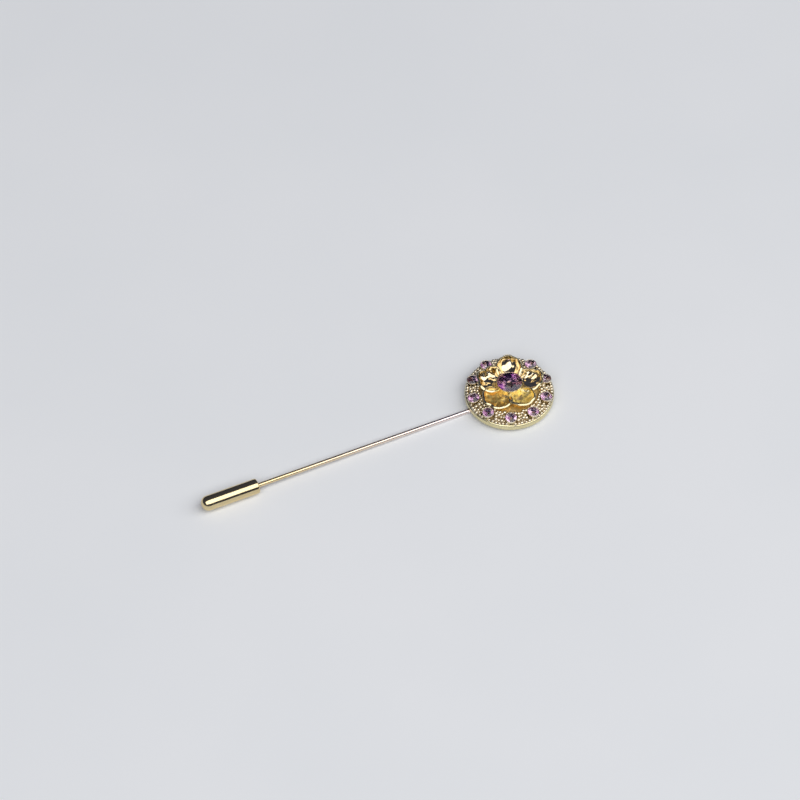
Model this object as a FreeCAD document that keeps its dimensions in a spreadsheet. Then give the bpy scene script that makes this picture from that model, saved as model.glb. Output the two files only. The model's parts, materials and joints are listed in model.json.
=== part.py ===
import FreeCAD, Part
import math
import os
from types import SimpleNamespace

import Sketcher

# A hat pin: a sharpened wire with a jewelled flower head at its blunt end and a clutch on its point.
# The wire lies along X with its point towards -X, and the head faces +Z. The origin is the middle of
# the bounding box at its lowest plane, which the side of the clutch touches.

SIZES = {
    # whole pin and wire
    "overall_length": 74.0,
    "wire_radius": 0.425,
    "point_radius": 0.04,
    "point_inset": 1.1,
    "taper_length": 10.5,
    "neck_length": 0.6,
    "tail_top": 0.35,
    "tail_bottom": 0.25,
    "tail_half_width": 0.6,
    "tail_past_centre": 1.0,
    "solder_width": 3.2,
    "solder_length": 8.0,
    "solder_depth": 0.4,
    # clutch
    "clutch_length": 11.7,
    "clutch_radius": 1.5,
    "shell_wall": 0.25,
    "lip_length": 0.25,
    "lip_overhang": 0.15,
    "lip_rounding": 0.15,
    "liner_length": 9.7,
    "liner_side_gap": 0.04,
    "liner_end_gap": 0.05,
    "bore_gap": 0.03,
    "funnel_depth": 0.25,
    # disc
    "disc_radius": 8.75,
    "disc_rounding": 0.3,
    "band_height": 1.12,
    "dome_radius": 25.9,
    "seat_radius": 3.2,
    "head_turn": -5.1,
    "bead_radius": 0.36,
    "outer_bead_inset": 0.55,
    "middle_bead_inset": 1.4,
    "inner_bead_inset": 2.25,
    # rim stones and their collets: insets are from the disc's edge, rises from its domed face
    "stone_inset": 1.3,
    "rim_stone_radius": 1.12,
    "rim_girdle_rise": 0.8,
    "rim_girdle_thickness": 0.08,
    "rim_pavilion_depth": 0.9,
    "rim_crown_height": 0.32,
    "rim_table_radius": 0.64,
    "rim_culet_radius": 0.06,
    "collet_radius": 1.02,
    "collet_rise": 0.62,
    # blossom: rises are from the seat in the middle of the disc
    "petal_circle": 3.85,
    "petal_rim_rise": 1.36,
    "petal_radius": 2.4,
    "petal_depth": 1.25,
    "petal_wall": 0.3,
    "petal_tilt": 18.0,
    "hub_radius": 2.9,
    "hub_rise": 0.41,
    "blossom_collet_radius": 2.2,
    "blossom_collet_rise": 1.36,
    # centre stone
    "centre_stone_radius": 2.5,
    "centre_girdle_rise": 1.66,
    "centre_girdle_thickness": 0.15,
    "centre_pavilion_depth": 1.5,
    "centre_crown_height": 0.65,
    "centre_table_radius": 1.45,
    "centre_culet_radius": 0.15,
}

RIM_STONES = 10
PETALS = 5
RIM_STONE_SIDES = 8
CENTRE_STONE_SIDES = 16
# angles of the beads in one tenth of the disc, counted from the stone in its middle
OUTER_BEADS = (-15.0, -9.0, -3.0, 3.0, 9.0, 15.0)
MIDDLE_BEADS = (-18.0, -11.4, 11.4)
INNER_BEADS = (-14.4, -7.2, 7.2, 14.4)


class Size:
    """A size as an expression on the sheet, with its number beside it."""

    def __init__(self, text, value):
        self.text = text
        self.value = value

    def __add__(self, other):
        other = as_size(other)
        return Size(f"({self.text} + {other.text})", self.value + other.value)

    def __sub__(self, other):
        other = as_size(other)
        return Size(f"({self.text} - {other.text})", self.value - other.value)

    def __mul__(self, other):
        other = as_size(other)
        return Size(f"({self.text} * {other.text})", self.value * other.value)

    def __truediv__(self, other):
        other = as_size(other)
        return Size(f"({self.text} / {other.text})", self.value / other.value)

    def __neg__(self):
        return Size(f"(0 - {self.text})", -self.value)

    def root(self):
        return Size(f"sqrt({self.text})", math.sqrt(self.value))

    def cosine(self):
        return Size(f"cos({self.text} * 1 deg)", math.cos(math.radians(self.value)))

    def sine(self):
        return Size(f"sin({self.text} * 1 deg)", math.sin(math.radians(self.value)))


def as_size(number):
    """A plain number as a Size."""
    if isinstance(number, Size):
        return number
    return Size(f"{number:.9f}", number)


def make_sheet(doc):
    """The sheet of driving sizes, and the sizes by name."""
    sheet = doc.addObject("Spreadsheet::Sheet", "Sizes")
    named = {}
    for row, (name, number) in enumerate(SIZES.items(), start=1):
        sheet.set(f"A{row}", name)
        sheet.set(f"B{row}", str(number))
        sheet.setAlias(f"B{row}", name)
        named[name] = Size(f"Sizes.{name}", number)
    doc.recompute()
    return SimpleNamespace(**named)


def bind(obj, path, size):
    """Tie one property to the sheet."""
    obj.setExpression(path, as_size(size).text)


def put(obj, x, y, z, turn=0.0):
    """Place an object at x, y, z, turned about its own Z axis by turn degrees."""
    upright = FreeCAD.Rotation(FreeCAD.Vector(0, 0, 1), as_size(turn).value)
    obj.Placement = FreeCAD.Placement(FreeCAD.Vector(0, 0, 0), upright)
    for axis, size in (("x", x), ("y", y), ("z", z)):
        bind(obj, f"Placement.Base.{axis}", size)
    if isinstance(turn, Size):
        bind(obj, "Placement.Rotation.Angle", turn)


def new_body(doc, label):
    """An empty body whose label names its node."""
    body = doc.addObject("PartDesign::Body", label)
    body.Label = label
    return body


def origin_part(body, role):
    """One of a body's own origin planes or axes."""
    return next(part for part in body.Origin.OriginFeatures if part.Role == role)


def new_sketch(body, name, role):
    """An empty sketch on one of the body's origin planes."""
    sketch = body.newObject("Sketcher::SketchObject", name)
    sketch.AttachmentSupport = [(origin_part(body, role), "")]
    sketch.MapMode = "FlatFace"
    return sketch


def hold(sketch, edge, end, x, y):
    """Fix one end of an edge at x, y from the sketch's origin."""
    for kind, axis, size in (("DistanceX", -2, as_size(x)), ("DistanceY", -1, as_size(y))):
        if size.value == 0.0:
            sketch.addConstraint(Sketcher.Constraint("PointOnObject", edge, end, axis))
            continue
        if size.value > 0.0:
            rule = Sketcher.Constraint(kind, -1, 1, edge, end, size.value)
            text = size.text
        else:
            rule = Sketcher.Constraint(kind, edge, end, -1, 1, -size.value)
            text = (-size).text
        index = sketch.addConstraint(rule)
        sketch.setExpression(f"Constraints[{index}]", text)


def arc_between(start, end, radius, left):
    """The short arc from start to end, with its centre on the left or right of the way there."""
    way = end - start
    side = FreeCAD.Vector(-way.y, way.x, 0).normalize()
    reach = math.sqrt(max(radius * radius - way.Length * way.Length / 4, 0.0))
    centre = (start + end) / 2 + side * (reach if left else -reach)
    first, last = (start, end) if left else (end, start)
    turns = [math.atan2(point.y - centre.y, point.x - centre.x) for point in (first, last)]
    if turns[1] < turns[0]:
        turns[1] += 2 * math.pi
    circle = Part.Circle(centre, FreeCAD.Vector(0, 0, 1), radius)
    return Part.ArcOfCircle(circle, turns[0], turns[1])


def draw(sketch, points, arcs=None):
    """A closed outline through points. arcs gives (radius, left) for the edges that are curved."""
    arcs = arcs or {}
    spots = [FreeCAD.Vector(as_size(x).value, as_size(y).value, 0) for x, y in points]
    ends = []
    for i, start in enumerate(spots):
        end = spots[(i + 1) % len(spots)]
        if i in arcs:
            radius, left = arcs[i]
            edge = sketch.addGeometry(arc_between(start, end, radius.value, left), False)
            ends.append((edge, 1, 2) if left else (edge, 2, 1))
        else:
            edge = sketch.addGeometry(Part.LineSegment(start, end), False)
            ends.append((edge, 1, 2))
    for i, (edge, first, _) in enumerate(ends):
        before, _, last = ends[i - 1]
        sketch.addConstraint(Sketcher.Constraint("Coincident", before, last, edge, first))
    for (edge, first, _), (x, y) in zip(ends, points):
        hold(sketch, edge, first, x, y)
    for i, (radius, _) in arcs.items():
        rule = Sketcher.Constraint("Radius", ends[i][0], radius.value)
        index = sketch.addConstraint(rule)
        sketch.setExpression(f"Constraints[{index}]", radius.text)
    return sketch


def spin(body, kind, name, sketch, axis):
    """A full turn of a sketch about one of its own axes: a Revolution adds, a Groove takes away."""
    feature = body.newObject(f"PartDesign::{kind}", name)
    feature.Profile = sketch
    feature.ReferenceAxis = (sketch, [axis])
    feature.Angle = 360
    body.Tip = feature
    return feature


def pattern(body, name, features, count):
    """The same features repeated evenly about the body's Z axis."""
    feature = body.newObject("PartDesign::PolarPattern", name)
    feature.Originals = features
    feature.Axis = (origin_part(body, "Z_Axis"), [""])
    feature.Angle = 360
    feature.Occurrences = count
    body.Tip = feature
    return feature


def make_needle(doc, s, frame):
    """The wire: a long point, a plain round shaft, and a tail hammered flat where the head sits on it."""
    body = new_body(doc, "needle")
    put(body, frame.point_x, 0, frame.wire_z)
    rim = frame.head_x - s.disc_radius - frame.point_x
    neck = rim - s.neck_length / 2
    tail = neck + s.neck_length
    end = frame.head_x + s.tail_past_centre - frame.point_x
    outline = draw(
        new_sketch(body, "NeedleOutline", "XY_Plane"),
        [
            (0, 0),
            (0, s.point_radius),
            (s.taper_length, s.wire_radius),
            (neck, s.wire_radius),
            (tail, s.tail_half_width),
            (end - s.tail_half_width, s.tail_half_width),
            (end, 0),
        ],
        {5: (s.tail_half_width, False)},
    )
    spin(body, "Revolution", "NeedleWire", outline, "H_Axis")
    for name, face, clear in (
        ("Top", (s.wire_radius, s.tail_top), s.wire_radius + 1),
        ("Bottom", (-s.wire_radius, -s.tail_bottom), -s.wire_radius - 1),
    ):
        side = draw(
            new_sketch(body, f"Tail{name}Side", "XZ_Plane"),
            [(neck, face[0]), (tail, face[1]), (end + 1, face[1]), (end + 1, clear), (neck, clear)],
        )
        flat = body.newObject("PartDesign::Pocket", f"Tail{name}Flat")
        flat.Profile = side
        flat.Type = "ThroughAll"
        flat.Midplane = True
        body.Tip = flat
    return body


def make_solder(doc, s, frame, needle):
    """The solder that holds the flattened tail to the back of the disc."""
    blank = new_body(doc, "solder_blank")
    put(blank, frame.head_x, 0, frame.back_z - s.solder_depth)
    half = s.solder_width / 2
    back = s.tail_past_centre + half - s.solder_length + half
    front = s.tail_past_centre
    outline = draw(
        new_sketch(blank, "SolderOutline", "XY_Plane"),
        [(back, -half), (front, -half), (front + half, 0), (front, half), (back, half), (back - half, 0)],
        {1: (half, True), 2: (half, True), 4: (half, True), 5: (half, True)},
    )
    pad = blank.newObject("PartDesign::Pad", "SolderPad")
    pad.Profile = outline
    bind(pad, "Length", s.solder_depth)
    blank.Tip = pad
    joint = doc.addObject("Part::Cut", "solder_joint")
    joint.Label = "solder_joint"
    joint.Base = blank
    joint.Tool = needle
    return joint


def make_shell(doc, s, frame):
    """The clutch's shell: a drawn tube with a round closed end and a lip turned in at its mouth."""
    body = new_body(doc, "clutch_shell")
    put(body, frame.end_x, 0, frame.wire_z)
    inside = s.clutch_radius - s.shell_wall
    lip = inside - s.lip_overhang
    outline = draw(
        new_sketch(body, "ShellOutline", "XY_Plane"),
        [
            (0, 0),
            (s.clutch_radius, s.clutch_radius),
            (s.clutch_length - s.lip_rounding, s.clutch_radius),
            (s.clutch_length, s.clutch_radius - s.lip_rounding),
            (s.clutch_length, lip),
            (s.clutch_length - s.lip_length, lip),
            (s.clutch_length - s.lip_length, inside),
            (s.clutch_radius, inside),
            (s.shell_wall, 0),
        ],
        {0: (s.clutch_radius, False), 2: (s.lip_rounding, False), 7: (inside, True)},
    )
    spin(body, "Revolution", "ShellWall", outline, "H_Axis")
    return body


def make_liner(doc, s, frame):
    """The nylon sleeve inside the shell, which grips the wire."""
    body = new_body(doc, "clutch_liner")
    mouth = frame.end_x + s.clutch_length - s.lip_length - s.liner_end_gap
    put(body, mouth - s.liner_length, 0, frame.wire_z)
    outside = s.clutch_radius - s.shell_wall - s.liner_side_gap
    bore = s.wire_radius + s.bore_gap
    outline = draw(
        new_sketch(body, "LinerOutline", "XY_Plane"),
        [
            (0, bore),
            (0, outside - s.funnel_depth),
            (s.funnel_depth, outside),
            (s.liner_length, outside),
            (s.liner_length, bore + s.funnel_depth),
            (s.liner_length - s.funnel_depth, bore),
        ],
    )
    spin(body, "Revolution", "LinerWall", outline, "H_Axis")
    return body


def dome_height(s, radius):
    """Height of the disc's domed face above its back, at a radius from the middle."""
    rim = s.disc_radius - s.disc_rounding
    drop = (s.dome_radius * s.dome_radius - rim * rim).root()
    return (s.dome_radius * s.dome_radius - radius * radius).root() - drop + s.band_height


def add_bead(body, s, name, circle, angle):
    """One round bead, half sunk in the domed face."""
    bead = body.newObject("PartDesign::AdditiveSphere", name)
    bind(bead, "Radius", s.bead_radius)
    put(
        bead,
        circle * math.cos(math.radians(angle)),
        circle * math.sin(math.radians(angle)),
        dome_height(s, circle),
    )
    body.Tip = bead
    return bead


def make_disc(doc, s, frame):
    """The domed disc, cast with its beads and with a collet under each rim stone."""
    body = new_body(doc, "base_disc")
    put(body, frame.head_x, 0, frame.back_z, s.head_turn)
    edge = s.disc_rounding
    outline = draw(
        new_sketch(body, "DiscOutline", "XZ_Plane"),
        [
            (0, 0),
            (s.disc_radius - edge, 0),
            (s.disc_radius, edge),
            (s.disc_radius, s.band_height - edge),
            (s.disc_radius - edge, s.band_height),
            (s.seat_radius, frame.seat),
            (0, frame.seat),
        ],
        {1: (edge, True), 3: (edge, True), 4: (s.dome_radius, True)},
    )
    spin(body, "Revolution", "DiscDome", outline, "V_Axis")
    relief = []
    for inset, angles, row in (
        (s.outer_bead_inset, OUTER_BEADS, "Outer"),
        (s.middle_bead_inset, MIDDLE_BEADS, "Middle"),
        (s.inner_bead_inset, INNER_BEADS, "Inner"),
    ):
        for i, angle in enumerate(angles):
            relief.append(add_bead(body, s, f"{row}Bead{i}", s.disc_radius - inset, angle))
    collet = body.newObject("PartDesign::AdditiveCylinder", "RimCollet")
    bind(collet, "Radius", s.collet_radius)
    bind(collet, "Height", frame.stone_foot + s.collet_rise - s.band_height)
    put(collet, frame.stone_circle, 0, s.band_height)
    relief.append(collet)
    pattern(body, "DiscRelief", relief, RIM_STONES)
    seat_cut = body.newObject("PartDesign::SubtractiveCone", "RimSeat")
    bind(seat_cut, "Radius1", s.rim_culet_radius)
    bind(seat_cut, "Radius2", s.rim_stone_radius)
    bind(seat_cut, "Height", s.rim_pavilion_depth)
    put(seat_cut, frame.stone_circle, 0, frame.rim_girdle - s.rim_pavilion_depth)
    room = body.newObject("PartDesign::SubtractiveCylinder", "RimStoneRoom")
    bind(room, "Radius", s.rim_stone_radius)
    bind(room, "Height", s.rim_girdle_thickness + s.rim_crown_height)
    put(room, frame.stone_circle, 0, frame.rim_girdle)
    pattern(body, "RimSeats", [seat_cut, room], RIM_STONES)
    return body


def draw_bowl(s, frame, body, name, radius, depth):
    """Half the section of a shallow bowl, on its own axis, with its rim at the petal's rim."""
    sketch = new_sketch(body, name, "XZ_Plane")
    lean = FreeCAD.Rotation(FreeCAD.Vector(0, 0, 1), s.petal_tilt.value)
    sketch.AttachmentOffset = FreeCAD.Placement(FreeCAD.Vector(0, 0, 0), lean)
    bind(sketch, "AttachmentOffset.Base.x", s.petal_circle)
    bind(sketch, "AttachmentOffset.Base.y", frame.seat + s.petal_rim_rise)
    bind(sketch, "AttachmentOffset.Rotation.Angle", s.petal_tilt)
    sphere = (radius * radius + depth * depth) / (depth * 2)
    return draw(sketch, [(0, 0), (0, -depth), (radius, 0)], {1: (sphere, True)})


def make_blossom(doc, s, frame):
    """Five cupped petals round a collet, cast in one piece."""
    body = new_body(doc, "blossom")
    put(body, frame.head_x, 0, frame.back_z, s.head_turn)
    cup = draw_bowl(s, frame, body, "PetalOutside", s.petal_radius, s.petal_depth)
    cup = spin(body, "Revolution", "PetalCup", cup, "V_Axis")
    pattern(body, "PetalCups", [cup], PETALS)
    inside_radius = s.petal_radius - s.petal_wall
    inside_depth = s.petal_depth - s.petal_wall
    hollow = draw_bowl(s, frame, body, "PetalInside", inside_radius, inside_depth)
    hollow = spin(body, "Groove", "PetalHollow", hollow, "V_Axis")
    pattern(body, "PetalHollows", [hollow], PETALS)
    collet = draw(
        new_sketch(body, "ColletOutline", "XZ_Plane"),
        [
            (0, frame.seat),
            (s.hub_radius, frame.seat),
            (s.hub_radius, frame.seat + s.hub_rise),
            (s.blossom_collet_radius, frame.seat + s.hub_rise),
            (s.blossom_collet_radius, frame.seat + s.blossom_collet_rise),
            (0, frame.seat + s.blossom_collet_rise),
        ],
    )
    spin(body, "Revolution", "Collet", collet, "V_Axis")
    cone = body.newObject("PartDesign::SubtractiveCone", "CentreSeat")
    bind(cone, "Radius1", s.centre_culet_radius)
    bind(cone, "Radius2", s.centre_stone_radius)
    bind(cone, "Height", s.centre_pavilion_depth)
    put(cone, 0, 0, frame.centre_girdle - s.centre_pavilion_depth)
    body.Tip = cone
    return body


def make_stone(doc, label, sides, levels):
    """A cut stone: flat facets between the corners at each level, given as radius and height."""
    body = new_body(doc, label)
    sections = []
    for level, (reach, height) in enumerate(levels):
        sketch = new_sketch(body, f"{label}_level{level}", "XY_Plane")
        bind(sketch, "AttachmentOffset.Base.z", height)
        corners = []
        for corner in range(sides):
            angle = 2 * math.pi * (corner + 0.5) / sides
            corners.append((reach * math.cos(angle), reach * math.sin(angle)))
        sections.append(draw(sketch, corners))
    facets = body.newObject("PartDesign::AdditiveLoft", f"{label}_facets")
    facets.Profile = sections[0]
    facets.Sections = sections[1:]
    facets.Ruled = True
    body.Tip = facets
    return body


def make_rim_stones(doc, s, frame):
    """Ten stones, evenly round one circle."""
    girdle_top = frame.rim_girdle + s.rim_girdle_thickness
    levels = (
        (s.rim_culet_radius, frame.rim_girdle - s.rim_pavilion_depth),
        (s.rim_stone_radius, frame.rim_girdle),
        (s.rim_stone_radius, girdle_top),
        (s.rim_table_radius, girdle_top + s.rim_crown_height),
    )
    stones = []
    for i in range(RIM_STONES):
        stone = make_stone(doc, f"rim_stone_{i + 1:02d}", RIM_STONE_SIDES, levels)
        turn = s.head_turn + 360.0 / RIM_STONES * i
        across = frame.stone_circle * turn.cosine()
        along = frame.stone_circle * turn.sine()
        put(stone, frame.head_x + across, along, frame.back_z, turn)
        stones.append(stone)
    return stones


def make_centre_stone(doc, s, frame):
    """The large stone in the middle of the blossom."""
    girdle_top = frame.centre_girdle + s.centre_girdle_thickness
    levels = (
        (s.centre_culet_radius, frame.centre_girdle - s.centre_pavilion_depth),
        (s.centre_stone_radius, frame.centre_girdle),
        (s.centre_stone_radius, girdle_top),
        (s.centre_table_radius, girdle_top + s.centre_crown_height),
    )
    stone = make_stone(doc, "centre_stone", CENTRE_STONE_SIDES, levels)
    put(stone, frame.head_x, 0, frame.back_z, s.head_turn)
    return stone


def check(doc, parts):
    """Stop if anything failed to recompute or a sub-part isn't one valid solid."""
    for obj in doc.Objects:
        if "Invalid" in obj.State or "Error" in obj.State:
            raise RuntimeError(f"{obj.Label} failed: {obj.State}")
    for part in parts:
        shape = part.Shape
        if shape.isNull() or not shape.isValid() or len(shape.Solids) != 1:
            raise RuntimeError(f"{part.Label} is not one valid solid")


def make_frame(s):
    """Places that several pieces share. Heights in the head are from the disc's back."""
    seat = dome_height(s, s.seat_radius)
    stone_circle = s.disc_radius - s.stone_inset
    stone_foot = dome_height(s, stone_circle)
    return SimpleNamespace(
        end_x=-s.overall_length / 2,
        point_x=s.point_inset - s.overall_length / 2,
        head_x=s.overall_length / 2 - s.disc_radius,
        wire_z=s.clutch_radius,
        back_z=s.clutch_radius + s.tail_top,
        seat=seat,
        centre_girdle=seat + s.centre_girdle_rise,
        stone_circle=stone_circle,
        stone_foot=stone_foot,
        rim_girdle=stone_foot + s.rim_girdle_rise,
    )


def main():
    doc = FreeCAD.newDocument("HatPin")
    s = make_sheet(doc)
    frame = make_frame(s)
    needle = make_needle(doc, s, frame)
    parts = [
        needle,
        make_solder(doc, s, frame, needle),
        make_disc(doc, s, frame),
        make_blossom(doc, s, frame),
        make_shell(doc, s, frame),
        make_liner(doc, s, frame),
    ]
    parts += make_rim_stones(doc, s, frame)
    parts.append(make_centre_stone(doc, s, frame))
    doc.recompute()
    check(doc, parts)
    os.makedirs("parts", exist_ok=True)
    for part in parts:
        part.Shape.exportStep(f"parts/{part.Label}.step")
        box = part.Shape.BoundBox
        print(
            f"{part.Label}: {part.Shape.Volume:.3f} mm3,"
            f" x {box.XMin:.2f} to {box.XMax:.2f},"
            f" y {box.YMin:.2f} to {box.YMax:.2f},"
            f" z {box.ZMin:.2f} to {box.ZMax:.2f}"
        )


main()
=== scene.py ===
import json
import math
import random

import bmesh
import bpy
import numpy as np
from mathutils import Matrix, Vector, noise


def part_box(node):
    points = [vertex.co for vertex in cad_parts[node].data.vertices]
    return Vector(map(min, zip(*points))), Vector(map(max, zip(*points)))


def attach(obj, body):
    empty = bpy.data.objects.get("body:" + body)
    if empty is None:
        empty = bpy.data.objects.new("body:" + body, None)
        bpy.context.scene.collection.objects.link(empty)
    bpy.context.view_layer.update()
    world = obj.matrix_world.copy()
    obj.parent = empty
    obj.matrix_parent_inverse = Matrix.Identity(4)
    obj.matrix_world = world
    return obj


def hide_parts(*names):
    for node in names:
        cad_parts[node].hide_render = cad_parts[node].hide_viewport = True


# The looks of a stick pin: a domed gold disc with a ring of lilac stones, a five-petalled blossom
# round an amethyst stone, a straight wire and a push-on clutch. Lengths here are in millimetres,
# and MM turns them into metres. Heights in the head are above the back of the disc.

MM = 0.001

# The camera aims at a place given from the middle of the disc's back. Its distance and its clipping
# are in metres.
CAMERA_AZIMUTH = -24.5
CAMERA_ELEVATION = 50.5
CAMERA_DISTANCE = 0.8
CAMERA_LENS = 184.0
CAMERA_CLIP = (0.05, 20.0)
AIM_FROM_HEAD = Vector((-19.74, 8.22, -0.59))

# One softbox over a floor, in metres, and a dim bluish room.
LIGHT_DISTANCE = 1.5
LIGHT_ELEVATION = 60.5
LIGHT_ACROSS = 0.7
LIGHT_WIDTH = 5.0
LIGHT_HEIGHT = 1.5
LIGHT_POWER = 48.5
WORLD_LIGHT = 0.085
WORLD_COLOUR = (0.56, 0.62, 1.0)
FLOOR_SIZE = 8.0
FLOOR_DROP = 0.00001

# The wire: its point, its shaft, the neck where it flattens and its tail behind the disc. The gaps
# are from the end of one stretch to the first ring of the next.
POINT_RADIUS = 0.04
TAPER_LENGTH = 10.5
TAPER_FULLNESS = 0.8
TAPER_CROWDING = 1.4
TAPER_RINGS = 40
SHAFT_BEFORE_DISC = 0.3
SHAFT_RING_GAP = 0.5
SHAFT_RINGS = 60
NECK_LENGTH = 0.6
NECK_RING_GAP = 0.06
NECK_RINGS = 12
TAIL_TOP = 0.35
TAIL_BOTTOM = 0.25
TAIL_HALF_WIDTH = 0.6
TAIL_SQUARENESS = 4.0
TAIL_RING_GAP = 0.4
TAIL_RINGS = 20
TAIL_ROUNDING = 0.3
TAIL_END_LENGTH = 0.25
TAIL_END_RINGS = 8
TAIL_END_LEAST = 0.05
WIRE_AROUND = 40

# The solder: how much of its CAD box it fills, its round outline's waves as (depth, count, start),
# and its belly's curve and ripple.
SOLDER_SHARE = 0.95
SOLDER_WAVES = ((0.035, 3, 1), (0.025, 7, 0))
SOLDER_BELLY = 2.4
SOLDER_FULLNESS = 0.7
SOLDER_FIRST_RING = 0.03
SOLDER_RINGS = 22
SOLDER_AROUND = 96
SOLDER_FLAT_TOP = 0.08
SOLDER_RIPPLE_SIZE = 0.9
SOLDER_RIPPLE_DEPTH = 0.05

# The clutch's shell. Its closed end's rings start a few degrees off the axis.
SHELL_WALL = 0.25
LIP_LENGTH = 0.25
LIP_RADIUS = 1.1
LIP_ROUNDING = 0.34
LIP_CHAMFER = 0.02
LIP_CHAMFER_LENGTH = 0.06
LIP_RINGS = 10
END_FULLNESS = 2.15
END_START = 2
OUTER_END_RINGS = 26
INNER_END_RINGS = 14
BARREL_RINGS = 24
BARREL_FIRST_GAP = 0.3
BARREL_LAST_GAP = 0.05
INNER_BARREL_GAP = 0.2
SHELL_AROUND = 96

# The nylon sleeve inside the shell.
LINER_BORE = 0.455
LINER_CHAMFER = 0.2
LINER_MOUTH_CHAMFER = 0.06
LINER_END_WALL = 0.5
LINER_AROUND = 64
FUNNEL_DEPTH = 0.25

# The disc: a flat back, a side band with rounded edges and a domed front. Its beads and settings
# take its first material, the pale gold, and the rest is named by slot. FIELD, the ring of dome
# under the beads, has a dark brown gold that is painted shade between the beads.
# WARM, the dome inside the beads, has a deeper orange gold that is painted bounce light from the
# petals.
FIELD, WARM, BAND = 1, 2, 3
BACK_RADII = (0.02, 2.0, 4.0, 6.0)
BACK_EDGE_INSET = 0.6
BACK_ROUNDING = 0.12
BAND_HEIGHT = 1.12
BAND_MIDDLE = 0.45
BAND_ROUNDING = 0.3
BAND_ROUNDING_END = 78
DOME_RADIUS = 25.9
DOME_EDGE_INSET = 0.08
DOME_MIDDLE = 0.05
DOME_RINGS = 48
DISC_AROUND = 192
DISC_RIPPLE_SIZE = 1.7
DISC_RIPPLE_DEPTH = 0.025
DISC_RIPPLE_START = 0.5
FIELD_EDGE = 2.75

# The beads: an uneven row along the edge, then each size in turn at random places.
BEAD_SEED = 11
EDGE_BEADS = 70
EDGE_BEAD_RADIUS = 0.38
EDGE_BEAD_SCALE = (0.8, 1.08)
EDGE_BEAD_INSET = 0.46
EDGE_BEAD_SHIFT = (-0.06, 0.04)
EDGE_BEAD_STRAY = 0.14
EDGE_BEAD_DROP = 0.05
BEAD_RISE = 0.08
BEAD_LIFT = 0.06
BEAD_SIZES = (0.42, 0.36, 0.3, 0.24, 0.2)
BEAD_TRIES = 1300
BEAD_CLOSENESS = 0.72
BEAD_TO_BEZEL = 0.55
BEAD_POLE = 86
BEAD_AROUND = 18
BEAD_ROWS = 10

# The thin setting round each rim stone.
BEZEL_RADIUS = 1.18
BEZEL_THICKNESS = 0.11
BEZEL_FOOT_INSET = 0.16
BEZEL_FOOT_OUTSET = 0.08
BEZEL_FOOT_RISE = 0.1
BEZEL_NECK_OUTSET = 0.02
BEZEL_NECK_DROP = 0.1
BEZEL_LIP_INSET = 0.03
BEZEL_LIP_DROP = 0.04
BEZEL_LIP_ANGLES = (20, 160)
BEZEL_INSIDE = 0.12
BEZEL_AROUND = 40

# The stones. The shares are of a stone's radius or of its height.
RIM_STONES = 10
RIM_STONE_RADIUS = 1.12
CENTRE_STONE_RADIUS = 2.5
STONE_LEAN = 4.0
STONE_EDGE_SHARE = 0.74
STONE_SIDES = 8
HALF_SIDE = 180 / STONE_SIDES
TABLE_SHARE = 0.57
LOWER_SHARE = 0.27
GIRDLE_SHARE = 0.06
CROWN_SHARE = 0.27

# Noise from the lowest to the highest that it mostly reaches, and the size of worn spots as a
# share of the patches of colour.
NOISE_LOW = 0.3
NOISE_HIGH = 0.7
WEAR_SHARE = 0.3


# ---------------------------------------------------------------- meshes

def smooth(value):
    """0 below 0, 1 above 1 and an even curve between."""
    t = np.clip(value, 0.0, 1.0)
    return t * t * (3.0 - 2.0 * t)


def ripple(points, size, depth, seed=0.0):
    """A smooth random height for each point, with features of that size."""
    shift = Vector((seed, 2.0 * seed, 3.0 * seed))
    return np.array([depth * noise.noise(Vector(p) / size + shift) for p in points])


class Shape:
    """Points and faces that are added part by part and become one mesh."""

    def __init__(self):
        self.points = []
        self.faces = []
        self.slots = []

    def add(self, points, faces, slots=None):
        start = sum(len(p) for p in self.points)
        self.points.append(np.asarray(points, float))
        self.faces += [[start + i for i in face] for face in faces]
        self.slots += slots or [0] * len(faces)

    def grid(self, rows, row_slots=None):
        """Closed rings of equally many points, joined in order and closed by a fan at each end.
        row_slots gives the material of each band between two rings."""
        rows = np.asarray(rows, float)
        count, around = rows.shape[0], rows.shape[1]
        ends = [rows[0].mean(0), rows[-1].mean(0)]
        points = np.vstack([rows.reshape(-1, 3), ends])
        faces = []
        for i in range(count - 1):
            here, there = i * around, (i + 1) * around
            for j in range(around):
                k = (j + 1) % around
                faces.append([here + j, here + k, there + k, there + j])
        first, last = count * around, count * around + 1
        for j in range(around):
            k = (j + 1) % around
            faces.append([first, k, j])
            faces.append([last, (count - 1) * around + j, (count - 1) * around + k])
        bands = row_slots or [0] * (count - 1)
        slots = [slot for slot in bands for j in range(around)]
        self.add(points, faces, slots + [bands[0], bands[-1]] * around)

    def loop(self, rows):
        """Closed rings joined in order, and the last one to the first."""
        rows = np.asarray(rows, float)
        count, around = rows.shape[0], rows.shape[1]
        faces = []
        for i in range(count):
            here, there = i * around, (i + 1) % count * around
            for j in range(around):
                k = (j + 1) % around
                faces.append([here + j, here + k, there + k, there + j])
        self.add(rows.reshape(-1, 3), faces)

    def piece(self, name, materials, body, nodes, shade_smooth=True):
        """Makes the object, which rides on its body and stands for those CAD nodes."""
        mesh = bpy.data.meshes.new(name)
        points = np.vstack(self.points) * MM
        mesh.from_pydata(points.tolist(), [], self.faces)
        for material in materials:
            mesh.materials.append(material)
        mesh.polygons.foreach_set("material_index", self.slots)
        mesh.polygons.foreach_set("use_smooth", [shade_smooth] * len(self.faces))
        mesh.validate()
        mesh.update()
        turn_outward(mesh)
        made = bpy.data.objects.new(name, mesh)
        bpy.context.scene.collection.objects.link(made)
        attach(made, body)
        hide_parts(*nodes)
        return made


def turn_outward(mesh):
    """Turns the faces of every closed part outward."""
    work = bmesh.new()
    work.from_mesh(mesh)
    bmesh.ops.recalc_face_normals(work, faces=work.faces)
    work.to_mesh(mesh)
    work.free()


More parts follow.
